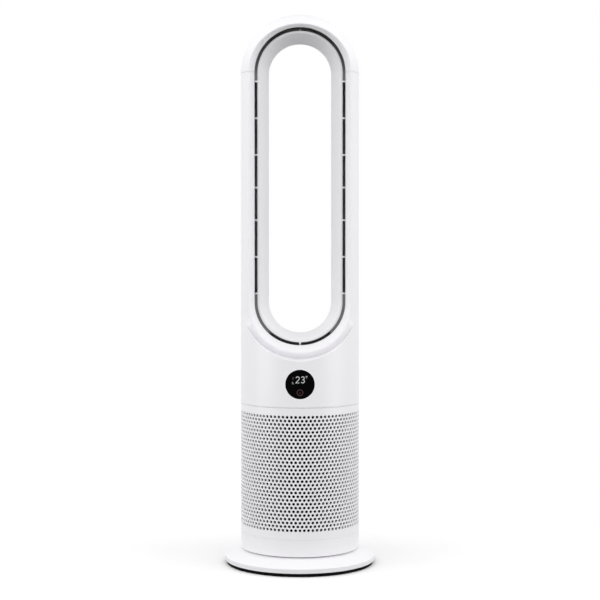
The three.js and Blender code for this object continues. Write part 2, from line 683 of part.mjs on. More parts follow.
  // The cap closes the motor housing and tapers like a tail cone; its web holds the upper bearing.
  const capBottom = rim + gap;
  const capSpan = motorRadius - bore - 1;
  const dome = [0, 0.25, 0.5, 0.75, 1].map((share) => [
    motorRadius - capSpan * (1 - Math.cos((share * Math.PI) / 2)),
    capBottom + capHeight * Math.sin((share * Math.PI) / 2),
  ]);
  const domeInside = shifted(dome, wall).reverse();
  const webTop = capSeatTop + wall;
  addPiece("motor_cap", turned([
    ...dome, [bore + 1, capBottom + capHeight - wall], ...domeInside.slice(1, 4),
    [inHousing - 1, webTop], [bore + 1, webTop], [bore + 1, capSeatTop], [seat, capSeatTop],
    [seat, capSeatTop - bearingHeight - gap], [seat + wall, capSeatTop - bearingHeight - gap],
    [seat + wall, capBottom],
  ], drumSides), "inner");
}

// ---------------------------------------------------------------- head and loop
function addHead() {
  const lipRadius = bodyRadius - topDeckLip;
  const upstand = innerRadius - gap;
  const upstandInner = upstand - 3;
  const spots = quarterSpots(headScrewCircle);
  const deck = turned([
    [bucketRadius + 2 * gap, topDeckBottom], [coverInner - gap, topDeckBottom],
    [coverInner - gap, coverTop + gap], [lipRadius, coverTop + gap], [lipRadius, headBottom - gap],
    [upstand, headBottom - gap], [upstand, upstandTop], [upstandInner, upstandTop],
    [upstandInner, topDeckTop], [bucketRadius + 2 * gap, topDeckTop],
  ], bigSides);
  const screwHoles = spots.map((spot) => disc(screwRadius + gap, 0, headBottom, spot));
  addPiece("top_deck", cut(deck, screwHoles), "white");
  spots.forEach((spot, i) => addPiece(`head_screw_${i + 1}`, screw(topDeckBottom - gap, 14, spot), "steel"));

  // The drum and arch as one envelope, with the scoop and the loop's front and back cut from it.
  const envelope = (radius, bottom) => swept(repeat(bigSides / 2 + 1, (i) => {
    const [out, depth] = onCircle(radius, (2 * i * Math.PI) / bigSides - Math.PI / 2);
    return [Math.max(out, 0.5), depth];
  }), drumPath(bottom));
  const far = baseRadius;
  const noseEdge = Math.sqrt(bodyRadius ** 2 - noseEdgeDepth ** 2);
  const rearEdge = throatRadius + rearFlare;
  // From the ridge a flank falls back to the drum's surface. Low down it meets the drum further in
  // front than the ridge, so there it is a level floor with an upright ledge in front of it.
  const frontCut = ([side, up, height]) => {
    const drop = height === spineBottom ? up ** 2 : 0;
    const edge = bodyRadius - flankInset - scoopRise * drop;
    const depth = Math.max(ridge[1], -Math.sqrt(bodyRadius ** 2 - (edge * side) ** 2));
    return [[edge, -far], [edge, depth], ridge, slotLip];
  };
  const rearCut = ([side, up, height]) => {
    const out = noseEdge * (height === spineBottom ? side : 1);
    const depth = Math.min(noseFloor, Math.sqrt(bodyRadius ** 2 - out ** 2));
    return [
      [rearEdge, linerRear], [rearEdge + 6, noseTip[1] - 3], noseTip,
      [noseEdge - 4, noseEdgeDepth + 9], [noseEdge, depth], [noseEdge, far],
    ];
  };
  const hull = (thickness) => {
    const front = (station) => {
      const line = shifted(frontCut(station), -thickness);
      line[0][1] = -far;
      line[3][1] = slotLip[1] + thickness;
      return line;
    };
    const rear = (station) => {
      const line = shifted(rearCut(station), -thickness);
      line[0][1] = linerRear - thickness;
      line[5][1] = far;
      return line;
    };
    const body = envelope(bodyRadius - thickness, headBottom - thickness);
    return cut(body, [swept(front, loopPath), swept(rear, loopPath)]);
  };
  const slotRoom = swept([[slotLip[0], -far], [slotLip[0], 0]], loopPath);
  const backRoom = swept([[rearEdge, -1], [rearEdge, far]], loopPath);
  const shell = cut(hull(0), [hull(wall), slotRoom, backRoom]);

  const reach = 2 * spineTop;
  const part = ([low, high], [front, back]) => shell.intersect(block([-far, far], [front, back], [low, high]));
  const split = [shellSplit - seam / 2, shellSplit + seam / 2];
  const archSeam = [spineTop - seam / 2, spineTop + seam / 2];
  const boss = (spot) => {
    const angle = Math.atan2(spot[1], spot[0]);
    const [low, high] = [topDeckTop + gap, upstandTop + bossRise];
    const stem = disc(4.5, low, high, spot);
    const web = block([headScrewCircle, innerRadius + 1], [-1.5, 1.5], [upstandTop + gap, high], angle);
    return stem.add(web).subtract(disc(screwRadius + gap, low - 1, high - 3, spot));
  };
  const windowHole = plug(displayRadius + gap, [-far, -innerRadius / 2], [0, displayHeight]);
  const frontBosses = spots.filter(([, y]) => y < 0).map(boss);
  const rearBosses = spots.filter(([, y]) => y > 0).map(boss);
  const frontShell = join([part([0, archSeam[0]], [-far, split[0]]), ...frontBosses]);
  addPiece("front_shell", frontShell.subtract(windowHole), "white");
  addPiece("rear_shell", join([part([0, reach], [split[1], far]), ...rearBosses]), "white");
  addPiece("arch_cap", part([archSeam[1], reach], [-far, split[0]]), "white");

  addLiner(rearEdge);
  addDisplay();
}

// The liner: a pale rim, a cone down to the throat and a flare to the rear shell, with the ribs
// and webs that stand in the air slot moulded on. It is made of a round end above, a round end
// below and two straight sides.
function addLiner(rearEdge) {
  const rimOuter = slotLip[0] - slotWidth;
  const rimInner = rimOuter - rimWidth;
  const end = rearEdge - gap;
  const inside = [
    [rimInner, rimFront + 1.2], [throatRadius + 1.4, throatDepth - 9], [throatRadius, throatDepth],
    [throatRadius + 1, throatDepth + 14], [end - linerWall, linerRear - 4],
  ];
  const outside = shifted(inside.slice(0, 4), -linerWall).reverse();
  const liner = swept([
    [rimInner + 0.8, rimFront], ...inside, [end - linerWall, linerRear], [end, linerRear],
    [end, linerRear - 5], ...outside.slice(0, 3), [rimOuter - 1.5, rimFront + 7], [rimOuter, rimFront + 5],
    [rimOuter, rimFront + 1.2], [rimOuter - 0.8, rimFront],
  ], loopPath, true);
  const middle = (spineTop + spineBottom) / 2;
  const ribReach = [rimOuter - 0.5, slotLip[0] - gap];
  const ribDepth = [slotLip[1] + 1.5, rimFront + 4];
  const half = ribThickness / 2;
  const ribOffsets = ribShares.map((share) => (share * limbLength) / 2);
  const heights = [...new Set(ribOffsets.flatMap((offset) => [middle + offset, middle - offset]))];
  const ribs = heights.flatMap((height) => [-1, 1].map((side) => block(
    ribReach.map((reach) => side * reach).sort((a, b) => a - b), ribDepth, [height - half, height + half])));
  ribs.push(block([-half, half], ribDepth, ribReach.map((reach) => spineTop + reach)));
  ribs.push(block([-half, half], ribDepth, ribReach.map((reach) => spineBottom - reach).reverse()));

  // Webs close the slot from the outermost ribs on into the round ends.
  const webSteps = Math.round((webAngle / 180) * arcSteps);
  const webArc = (radius) => repeat(webSteps + 1, (i) => onCircle(radius, (i * Math.PI) / arcSteps));
  const webStart = middle + Math.max(...ribOffsets) - spineTop;
  const webOutline = [
    [webReach[1], webStart], ...webArc(webReach[1]),
    ...webArc(webReach[0]).reverse(), [webReach[0], webStart],
  ];
  const web = (side, up, height) => {
    const shape = new THREE.Shape(webOutline.map(([x, z]) => new THREE.Vector2(side * x, up * z)));
    const geometry = new THREE.ExtrudeGeometry(shape, { depth: webThickness, bevelEnabled: false });
    return toSolid(geometry.rotateX(Math.PI / 2).translate(0, rimFront + 1 + webThickness, height));
  };
  const webs = [-1, 1].flatMap((side) => [web(side, 1, spineTop), web(side, -1, spineBottom)]);
  const whole = join([liner, ...ribs, ...webs]);
  const far = baseRadius;
  const split = seam / 2;
  const part = ([left, right], [low, high]) => whole.intersect(block([left, right], [-far, far], [low, high]));
  const sideHeights = [spineBottom + split, spineTop - split];
  addPiece("liner_arch", part([-far, far], [spineTop + split, 2 * spineTop]), "liner");
  addPiece("liner_bowl", part([-far, far], [0, spineBottom - split]), "liner");
  addPiece("liner_left", part([-far, 0], sideHeights), "liner");
  addPiece("liner_right", part([0, far], sideHeights), "liner");
}

function addDisplay() {
  const spot = [0, displayHeight];
  const drum = (outer, inner) => ring(outer, inner, headBottom, spineBottom, bigSides);
  const depth = [-baseRadius, -innerRadius / 2];
  const lens = plug(displayRadius, depth, spot).intersect(drum(bodyRadius, innerRadius));
  addPiece("display_lens", lens, "black");
  const frameInner = innerRadius - gap - wall;
  const frame = plug(displayRadius + 5, depth, spot).intersect(drum(innerRadius - gap, frameInner));
  addPiece("display_frame", frame.subtract(plug(displayWindow, depth, spot)), "inner");
  const side = displayWindow + 2;
  const front = -Math.sqrt((frameInner * Math.cos(Math.PI / bigSides)) ** 2 - side ** 2) + gap;
  const sides = [-side, side];
  const board = block(sides, [front, front + 1.6], sides.map((z) => displayHeight + z));
  addPiece("display_board", board, "board");
}

addBase();
addTurntable();
addInlet();
addDrive();
addHead();

export default fan;
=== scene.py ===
import json
import math

import bmesh
import bpy
import numpy as np
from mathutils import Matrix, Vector


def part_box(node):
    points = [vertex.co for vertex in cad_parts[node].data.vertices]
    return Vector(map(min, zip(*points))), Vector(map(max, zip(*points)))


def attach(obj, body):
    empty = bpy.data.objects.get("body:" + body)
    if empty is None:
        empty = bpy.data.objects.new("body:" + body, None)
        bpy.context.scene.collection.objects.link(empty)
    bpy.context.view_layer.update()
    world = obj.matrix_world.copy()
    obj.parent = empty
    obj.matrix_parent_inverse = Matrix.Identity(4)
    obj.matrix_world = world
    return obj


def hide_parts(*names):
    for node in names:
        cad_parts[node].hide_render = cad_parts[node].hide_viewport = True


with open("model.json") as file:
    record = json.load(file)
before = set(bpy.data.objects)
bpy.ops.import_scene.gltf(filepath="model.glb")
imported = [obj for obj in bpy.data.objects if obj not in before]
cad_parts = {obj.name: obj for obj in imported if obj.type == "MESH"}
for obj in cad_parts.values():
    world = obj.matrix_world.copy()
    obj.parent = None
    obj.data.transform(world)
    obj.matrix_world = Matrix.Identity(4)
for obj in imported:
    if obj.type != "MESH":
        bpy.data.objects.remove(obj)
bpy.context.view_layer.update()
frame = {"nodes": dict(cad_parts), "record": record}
print("frame loaded:", len(frame["nodes"]), "nodes")

mm = 0.001
touch = 1e-9  # heights that differ by less count as level, in metres

# The sizes that several pieces share, in metres. The loop's section runs round its spine, which is
# two upright limbs between the centres of two half circles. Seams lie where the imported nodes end.
shellTop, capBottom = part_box("front_shell")[1].z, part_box("arch_cap")[0].z
body = {
    "radius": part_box("lower_collar")[1].x,
    "wall": 2.5 * mm,
    "headBottom": 279.3 * mm,
    "archSeam": (shellTop, capBottom),
    "spineTop": (shellTop + capBottom) / 2,
    "spineBottom": shellTop - 393.8 * mm,
    "limbRows": 10,
    "arcSteps": 96,
    "shellSplit": (29.8 * mm, 30.2 * mm),  # depths where the front shell and the rear shell end
}


def asPoints(rows):  # millimetres to metres
    return np.array(rows, float) * mm


def unitOf(vectors):  # a vector without length stays as it is
    return vectors / np.maximum(np.linalg.norm(vectors, axis=-1, keepdims=True), 1e-12)


# Rounds the inner corners of paths held in the last two axes. Each corner becomes a quadratic curve
# that leaves both sides at the corner's reach, with a guard point beyond each end of the curve. Both
# are cut to a share of the shorter side.
def roundedPath(corners, reaches, steps=5, guard=0.8 * mm, reachShare=0.4, guardShare=0.3):
    corner = corners[..., 1:-1, :]
    back = corners[..., :-2, :] - corner
    ahead = corners[..., 2:, :] - corner
    room = np.minimum(np.linalg.norm(back, axis=-1), np.linalg.norm(ahead, axis=-1))
    reach = np.minimum(np.asarray(reaches) * mm, reachShare * room)[..., None]
    slack = np.minimum(guard, guardShare * room[..., None] - reach / 2).clip(0)
    start, end = corner + unitOf(back) * reach, corner + unitOf(ahead) * reach
    t = np.linspace(0, 1, steps + 1)[:, None]
    curve = (
        start[..., None, :] * (1 - t) ** 2
        + corner[..., None, :] * 2 * t * (1 - t)
        + end[..., None, :] * t**2
    )
    before = (start + unitOf(back) * slack)[..., None, :]
    after = (end + unitOf(ahead) * slack)[..., None, :]
    turns = np.concatenate([before, curve, after], axis=-2)
    turns = turns.reshape(*turns.shape[:-3], -1, turns.shape[-1])
    return np.concatenate([corners[..., :1, :], turns, corners[..., -1:, :]], axis=-2)


# A closed outline: every corner is an inner corner of a path that runs once round.
def roundedLoop(corners, reaches, steps=4):
    onceRound = np.concatenate([corners[-1:], corners, corners[:1]])
    return roundedPath(onceRound, reaches, steps)[1:-1]


# Corner numbers of the four-sided faces of a grid of points; a wrapped side joins its last row to
# its first.
def gridQuads(rows, columns, wrapRows=False, wrapColumns=False):
    i = np.arange(rows if wrapRows else rows - 1)[:, None]
    j = np.arange(columns if wrapColumns else columns - 1)[None, :]
    down, right = (i + 1) % rows, (j + 1) % columns
    quads = [i * columns + j, down * columns + j, down * columns + right, i * columns + right]
    return np.stack(quads, -1).reshape(-1, 4)


oneQuad = np.array([[0, 1, 2, 3]])


# One mesh object from patches, each an array of points and an array of faces that number them, and
# a slot number where it isn't the first material's.
def meshFrom(name, patches, sharp=35, merge=2e-6, outward=True):
    points = np.concatenate([patch[0].reshape(-1, 3) for patch in patches])
    starts = np.cumsum([0] + [patch[0].size // 3 for patch in patches])
    quads = np.concatenate([patch[1] + start for patch, start in zip(patches, starts)])
    slots = [np.full(len(patch[1]), patch[2] if len(patch) > 2 else 0, np.int32) for patch in patches]
    mesh = bpy.data.meshes.new(name)
    mesh.vertices.add(len(points))
    mesh.vertices.foreach_set("co", points.ravel())
    mesh.loops.add(quads.size)
    mesh.loops.foreach_set("vertex_index", quads.ravel())
    mesh.polygons.add(len(quads))
    mesh.polygons.foreach_set("loop_start", np.arange(len(quads)) * quads.shape[1])
    mesh.polygons.foreach_set("material_index", np.concatenate(slots))
    mesh.update(calc_edges=True)
    work = bmesh.new()
    work.from_mesh(mesh)
    bmesh.ops.remove_doubles(work, verts=work.verts, dist=merge)
    bmesh.ops.dissolve_degenerate(work, edges=work.edges, dist=merge)
    if outward:
        bmesh.ops.recalc_face_normals(work, faces=work.faces)
    work.to_mesh(mesh)
    work.free()
    mesh.polygons.foreach_set("use_smooth", np.ones(len(mesh.polygons), bool))
    mesh.set_sharp_from_angle(angle=math.radians(sharp))
    piece = bpy.data.objects.new(name, mesh)
    bpy.context.scene.collection.objects.link(piece)
    return piece


# Revolves an outline of [radius, height] about the tower's axis. The outline closes on itself.
def turned(outline, sides=192):
    angles = np.linspace(0, 2 * math.pi, sides, endpoint=False)[:, None]
    radius, height = outline[:, 0], outline[:, 1]
    points = np.broadcast_arrays(radius * np.cos(angles), radius * np.sin(angles), height)
    return np.stack(points, -1), gridQuads(sides, len(outline), True, True)


# Stations along the loop, each [sideways, upwards, height of the centre]: a point at an offset from
# the spine lies at offset times the direction, from the centre.
def limbPath(side, top, bottom):
    heights = np.linspace(top, bottom, body["limbRows"])
    return np.stack([np.full(len(heights), side), np.zeros(len(heights)), heights], -1)


def arcPath(start, end, centre):
    angles = np.radians(np.linspace(start, end, body["arcSteps"] + 1))
    return np.stack([np.cos(angles), np.sin(angles), np.full(len(angles), centre)], -1)


# A grid with a row for each station, from a section of [offset, depth] that is the same at all
# stations or is given for each.
def alongLoop(section, path):
    offset, depth = section[..., 0], section[..., 1]
    side, up, centre = path[:, 0, None], path[:, 1, None], path[:, 2, None]
    across = offset * side
    return np.stack([across, np.broadcast_to(depth, across.shape), centre + offset * up], -1)


def sweptPatch(section, path, wrapPath=False):  # the section closes on itself
    points = alongLoop(section, path)
    return points, gridQuads(*points.shape[:2], wrapPath, True)


# Offset and depth of points on a circle about the tower's axis between two depths.
def circleSection(radius, near, far, steps=14):
    angles = np.linspace(math.asin(near / radius), math.asin(far / radius), steps)
    return radius * np.stack([np.cos(angles), np.sin(angles)], -1)


# The body that a piece rides on, a slot name that is not used, and the nodes it stands for.
def place(piece, bodyName, slotName, *nodes):
    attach(piece, bodyName)
    if nodes:
        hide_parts(*nodes)


class Wire:  # a node's output that works in Python sums
    def __init__(self, nodes, socket):
        self.nodes, self.socket = nodes, socket

    def beside(self, name):  # another output of the same node
        return Wire(self.nodes, self.socket.node.outputs[name])

    def combine(self, operation, other):
        return self.nodes.node("ShaderNodeMath", {"operation": operation}, {0: self, 1: other})

    def __add__(self, other):
        return self.combine("ADD", other)

    def __mul__(self, other):
        return self.combine("MULTIPLY", other)

    __radd__ = __add__
    __rmul__ = __mul__


class Nodes:  # a node tree that grows by one call for each node
    def __init__(self, tree):
        self.tree = tree

    # A node's settings are set first, and then its sockets get their values or links.
    def node(self, kind, settings, inputs, output=0):
        made = self.tree.nodes.new(kind)
        for name, value in settings.items():
            setattr(made, name, value)
        for name, value in inputs.items():
            if isinstance(value, Wire):
                self.tree.links.new(value.socket, made.inputs[name])
            else:
                made.inputs[name].default_value = value
        return Wire(self, made.outputs[output])

    # The rays that show the white surroundings: the camera's own, and those that a surface mirrors
    # or lets through.
    def seenRays(self):
        rays = self.node("ShaderNodeLightPath", {}, {}, "Is Camera Ray")
        mirrored = rays.combine("MAXIMUM", rays.beside("Is Glossy Ray"))
        return mirrored.combine("MAXIMUM", rays.beside("Is Transmission Ray"))

    # Mixes two shaders and shows the result.
    def showMix(self, factor, first, second, outputNode):
        mix = self.node("ShaderNodeMixShader", {}, {0: factor, 1: first, 2: second})
        self.tree.links.new(mix.socket, self.tree.nodes[outputNode].inputs["Surface"])


class Shader(Nodes):  # a material's nodes round its Principled shader
    def __init__(self, name, constants):
        self.material = bpy.data.materials.new(name)
        self.material.use_nodes = True
        super().__init__(self.material.node_tree)
        self.surface = self.tree.nodes["Principled BSDF"]
        for socket, value in constants.items():
            self.surface.inputs[socket].default_value = value
        self.places = self.node("ShaderNodeTexCoord", {}, {}, "Object")

    def feed(self, socket, wire):
        self.tree.links.new(wire.socket, self.surface.inputs[socket])

    def noise(self, scale, detail=3.0, roughness=0.5):
        inputs = {"Vector": self.places, "Scale": scale, "Detail": detail, "Roughness": roughness}
        return self.node("ShaderNodeTexNoise", {}, inputs)

    def blend(self, factor, first, second):
        inputs = {"Factor": factor, "A": first, "B": second}
        return self.node("ShaderNodeMix", {"data_type": "RGBA"}, inputs, "Result")

    # The colour times one share where the pattern is 0, and times the other where it is 1.
    def tones(self, socket, pattern, color, shares):
        low, high = [tuple(min(1.0, c * share) for c in color) + (1.0,) for share in shares]
        self.feed(socket, self.blend(pattern, low, high))

    # Roughness that goes from the first value to the second as the pattern goes from 0 to 1.
    def gloss(self, pattern, smooth, rough):
        self.feed("Roughness", pattern * (rough - smooth) + smooth)

    def bump(self, height, strength, distance):
        inputs = {"Height": height, "Strength": strength, "Distance": distance}
        self.feed("Normal", self.node("ShaderNodeBump", {}, inputs))


# Each finish's pattern: the scale, detail and roughness of its noise or the scale of its rings or
# tracks, how its colour and its gloss follow it, and how strong and deep its relief is.
mould = {
    "clouds": (7.0, 2.0), "glossSpread": 0.03, "pores": (900.0, 2.0), "poreStrength": 0.25,
}
metal = {
    "streaks": (400.0, 4.0, 0.7), "tones": (0.85, 1.1), "glossSpread": 0.1, "relief": (0.2, 0.02 * mm),
}
fibre = {
    "fibres": (1800.0, 6.0, 0.8), "tones": (0.6, 1.5), "gloss": (0.85, 0.95), "relief": (0.6, 0.3 * mm),
}
winding = {
    "scale": 260.0, "tones": (0.5, 1.2), "gloss": (0.3, 0.5), "relief": (0.7, 0.2 * mm),
}
board = {
    "scale": 160.0, "trackWidth": 0.03, "tones": (1.0, 1.9), "coat": 0.4,
    "clouds": 300.0, "gloss": (0.4, 0.5), "relief": (0.3, 0.05 * mm),
}
lamp = {
    "grains": 3000.0, "tones": (0.96, 1.0), "roughness": 0.4, "strength": 1.0,
}


# Moulded plastic: a faint tone drift over the part, fine texture from the mould, and a roughness
# that wanders a little.
def mouldedPlastic(name, color, roughness, drift, grain=0.01 * mm, specular=0.5):
    shader = Shader(name, {"Roughness": roughness, "Specular IOR Level": specular})
    cloudy = shader.noise(*mould["clouds"])
    shader.tones("Base Color", cloudy, color, (1 - drift, 1 + drift))
    shader.gloss(cloudy, roughness - mould["glossSpread"], roughness + mould["glossSpread"])
    shader.bump(shader.noise(*mould["pores"]), mould["poreStrength"], grain)
    return shader.material


def brushedMetal(name, color, roughness):
    shader = Shader(name, {"Metallic": 1.0})
    streaks = shader.noise(*metal["streaks"])
    shader.tones("Base Color", streaks, color, metal["tones"])
    shader.gloss(streaks, roughness - metal["glossSpread"], roughness + metal["glossSpread"])
    shader.bump(streaks, *metal["relief"])
    return shader.material


def pleatedFibre(name, color):
    shader = Shader(name, {})
    fibres = shader.noise(*fibre["fibres"])
    shader.tones("Base Color", fibres, color, fibre["tones"])
    shader.gloss(fibres, *fibre["gloss"])
    shader.bump(fibres, *fibre["relief"])
    return shader.material


def copperWire(name, color):
    shader = Shader(name, {"Metallic": 1.0})
    rings = {"wave_type": "RINGS", "rings_direction": "Z"}
    inputs = {"Vector": shader.places, "Scale": winding["scale"]}
    turns = shader.node("ShaderNodeTexWave", rings, inputs)
    shader.tones("Base Color", turns, color, winding["tones"])
    shader.gloss(turns, *winding["gloss"])
    shader.bump(turns, *winding["relief"])
    return shader.material


def circuitBoard(name, color):
    shader = Shader(name, {"Coat Weight": board["coat"]})
    inputs = {"Vector": shader.places, "Scale": board["scale"], "Mortar Size": board["trackWidth"]}
    tracks = shader.node("ShaderNodeTexBrick", {}, inputs, "Fac")
    shader.tones("Base Color", tracks, color, board["tones"])
    shader.gloss(shader.noise(board["clouds"]), *board["gloss"])
    shader.bump(tracks, *board["relief"])
    return shader.material


def glowing(name, color):
    shine = {"Roughness": lamp["roughness"], "Emission Strength": lamp["strength"]}
    shader = Shader(name, {"Base Color": (0, 0, 0, 1), **shine})
    shader.tones("Emission Color", shader.noise(lamp["grains"]), color, lamp["tones"])
    return shader.material


finish = {
    "white_shell": mouldedPlastic("satinWhite", (0.83, 0.823, 0.846), 0.34, 0.008),
    "liner_plastic": mouldedPlastic("linerGrey", (0.79, 0.785, 0.802), 0.42, 0.01),
    "display_glass": mouldedPlastic("blackLens", (0.001, 0.001, 0.001), 0.2, 0.1, 0.002 * mm, 0.02),
    "rubber": mouldedPlastic("blackRubber", (0.004, 0.004, 0.0045), 0.7, 0.15, 0.06 * mm, 0.05),
    "steel": brushedMetal("zincSteel", (0.55, 0.56, 0.57), 0.35),
    "inner_plastic": mouldedPlastic("darkPlastic", (0.035, 0.035, 0.038), 0.5, 0.1, 0.03 * mm),
    "nylon": mouldedPlastic("naturalNylon", (0.70, 0.66, 0.54), 0.45, 0.04, 0.03 * mm),
    "filter_media": pleatedFibre("carbonFibreMat", (0.012, 0.012, 0.013)),
    "circuit_board": circuitBoard("solderMask", (0.02, 0.12, 0.05)),
    "copper": copperWire("enamelledCopper", (0.55, 0.20, 0.08)),
    "magnet": brushedMetal("darkNickel", (0.14, 0.14, 0.15), 0.4),
    # Painted shade: the shells' insides are given grey, for the dim duct seen through the air slot.
    "duct_painted_shade": mouldedPlastic("ductPaintedShade", (0.6, 0.6, 0.604), 0.7, 0.1, 0.03 * mm),
    # Painted shade: a dark grey for the plates in the air slot, standing for the slot's shade.
    "web_painted_shade": mouldedPlastic("webPaintedShade", (0.22, 0.22, 0.225), 0.6, 0.03, 0.03 * mm),
}

for entry in frame["record"]["subparts"]:
    node = frame["nodes"][entry["node"]]
    node.data.materials.clear()
    node.data.materials.append(finish[entry["material_slot"]])
print("materials ready:", len(finish))


def dress(piece, *finishes):
    for name in finishes:
        piece.data.materials.append(finish[name])
    return piece


# The head's front and rear shells. Corners are [offset, depth], and reaches round them, in
# millimetres; the lip of the air slot and the ridge are the front's first two corners.
crest = {
    "front": {
        "corners": [[78, -31.5], [87, -54]],
        "reach": [8],
        "edge": 99.5 * mm,  # offset where the flank ends
        "floor": 48 * mm,  # depth of the scoop's level floor
        "rise": 4 * mm,  # how much less the scoop reaches down than its own round end would
        "lipLead": 13 * mm,  # how far the lip comes forward at the top of the arch
        "lipDraw": (2.6 * mm, 4.1 * mm),  # how far it is drawn in at the loop's top and its bottom
        "ridgeDraw": (6.5 * mm, 3 * mm),
        "whole": False,  # the arch is a cap of its own
    },
    "rear": {
        "corners": [[61.5, 44], [67.5, 59], [77, 62], [86, 58]],
        "reach": [4, 5, 5],
        "edge": 90.03 * mm,
        "floor": 56 * mm,
        "rise": 0,
        "lipLead": 0,
        "lipDraw": (0, 0),
        "ridgeDraw": (0, 0),
        "whole": True,
    },
    "ledgeReach": 1.2,
    "drumRows": 8,
}


def onCircle(offset, radius):  # depth at an offset on a circle about the tower's axis
    return np.sqrt(np.maximum(radius**2 - offset**2, 0))


# How far a corner is drawn in at each station: by the first length at the loop's top and the second
# at its bottom, and not at all along the limbs, by the square of the direction's upward share.
def drawnIn(path, draw):
    return np.where(path[:, 1] > 0, *draw) * path[:, 1] ** 2


def onLowerEnd(path):  # stations on the loop's lower round end
    return (path[:, 2] <= body["spineBottom"] + touch) & (path[:, 1] < 0)


# Where the loop's flank ends, as [offset, depth] for each station: on the drum's surface, or low
# down on a level floor, where the drum's surface lies further out than the floor. There the offset
# shrinks by the square of the direction's upward share.
def flankEnd(path, shape, facing):
    side, up, _ = path.T
    under = onLowerEnd(path)
    offset = shape["edge"] - np.where(under, shape["rise"] * up**2, 0)
    onDrum = onCircle(np.where(under, offset * side, offset), body["radius"])
    depth = np.where(under, np.minimum(shape["floor"], onDrum), onDrum)
    return np.stack([offset, facing * depth], -1)


# The corners of the loop's section at each station. The first one comes forward on its way up the
# arch, by the square of the direction's upward share, and the first two are drawn in. For a shell's
# inside each corner then moves along the mean of its sides' normals until both sides have moved by
# the wall, and the last one also moves under the ledge, by the ledge's length or at most the wall.
def crestCorners(path, shape, facing, wall):
    ends = flankEnd(path, shape, facing)
    fixed = asPoints(shape["corners"])
    fixed = np.broadcast_to(fixed, (len(path), *fixed.shape))
    corners = np.concatenate([fixed, ends[:, None]], 1)
    corners[:, 0, 1] -= shape["lipLead"] * path[:, 1].clip(0) ** 2
    corners[:, 0, 0] -= drawnIn(path, shape["lipDraw"])
    corners[:, 1, 0] -= drawnIn(path, shape["ridgeDraw"])
    along = unitOf(corners[:, 1:] - corners[:, :-1])
    normal = facing * np.stack([along[..., 1], -along[..., 0]], -1)
    before = np.concatenate([normal[:, :1], normal], 1)
    after = np.concatenate([normal, normal[:, -1:]], 1)
    cosine = (before * after).sum(-1, keepdims=True)
    moved = corners + wall * (before + after) / (1 + cosine)
    ledge = onCircle(ends[:, 0] * path[:, 0], body["radius"]) - np.abs(ends[:, 1])
    further = np.where(onLowerEnd(path), ledge.clip(0, wall), 0)
    moved[:, -1] += along[:, -1] * further[:, None]
    return moved


# Only a shell's outside has rounded corners.
def crestSection(corners, shape, wall):
    return roundedPath(corners, np.array(shape["reach"]) * (0 if wall else 1))


# Under the loop an upright ledge runs from the end of the flank out to the drum's surface, and the
# drum goes on down from there.
def ledgeAndDrum(path, ends, facing, wall):
    side, up, centre = path.T
    offset, depth = ends.T
    x, z = offset * side, centre + offset * up
    rim = facing * np.maximum(onCircle(x, body["radius"] - wall), np.abs(depth))
    foot = np.full(len(side), body["headBottom"])
    corners = [np.stack(spot, -1) for spot in ((x, depth, z), (x, rim, z), (x, rim, foot))]
    profile = roundedPath(np.stack(corners, 1), [0 if wall else crest["ledgeReach"]])
    share = np.linspace(0, 1, crest["drumRows"] + 1)[1:-1, None]
    lower = profile[:, -2:-1] + share * (profile[:, -1:] - profile[:, -2:-1])
    return np.concatenate([profile[:, :-1], lower, profile[:, -1:]], 1)


# The drum's sides, from the end of the flank to the split between the shells: the section of
# [offset, depth] stands at each height, on the side that it is given.
def drumSide(side, section, heights):
    grid = np.broadcast_arrays(side * section[:, 0], section[:, 1], heights[:, None])
    return np.stack(grid, -1)


# The grids of a shell's outside, or of its inside where a wall is given, with the sides of each
# grid where the shell ends: T and B for its first and last row, L and R for its first and last
# column.
def shellGrids(shape, facing, split, limbTop, wall):
    low = body["spineBottom"]
    left, right = limbPath(-1.0, limbTop, low), limbPath(1.0, low, limbTop)
    under, arch = arcPath(180, 360, low), arcPath(0, 180, body["spineTop"])
    path = np.concatenate([left[:-1], under[:-1], right])
    if shape["whole"]:
        path = np.concatenate([arch[:-1], path])
    section = crestSection(crestCorners(path, shape, facing, wall), shape, wall)
    lowEnds = crestCorners(under, shape, facing, wall)[:, -1]
    ledge = ledgeAndDrum(under, lowEnds, facing, wall)
    outer = circleSection(body["radius"] - wall, lowEnds[0, 1], split)
    sides = [
        drumSide(sign, outer, np.concatenate([left[:-1, 2], ledge[column, :, 2]]))
        for sign, column in ((-1, 0), (1, -1))
    ]
    if shape["whole"]:
        return [
            (alongLoop(section, path), "L"), (ledge, "R"), (sides[0], "RB"), (sides[1], "RB"),
            (alongLoop(outer, arch), "R"),
        ]
    return [(alongLoop(section, path), "LTB"), (ledge, "R"), (sides[0], "RBT"), (sides[1], "RBT")]


# A wall from the grids of its outside and its inside, closed along the sides where it ends. The inside
# gets a grey that is painted shade, for the dim duct seen through the air slot.
def walledMesh(name, outside, inside):
    sides = {"T": np.s_[0], "B": np.s_[-1], "L": np.s_[:, 0], "R": np.s_[:, -1]}
    patches = []
    for (outer, ends), (inner, _) in zip(outside, inside):
        patches.append((outer, gridQuads(*outer.shape[:2])))
        patches.append((inner, gridQuads(*inner.shape[:2]), 1))
        for end in ends:
            strip = np.stack([outer[sides[end]], inner[sides[end]]])
            patches.append((strip, gridQuads(*strip.shape[:2])))
    return dress(meshFrom(name, patches), "white_shell", "duct_painted_shade")


def makeShell(name, node, shape, facing, split, limbTop):
    walls = [shellGrids(shape, facing, split, limbTop, wall) for wall in (0.0, body["wall"])]
    place(walledMesh(name, *walls), "tower", "white_shell", node)


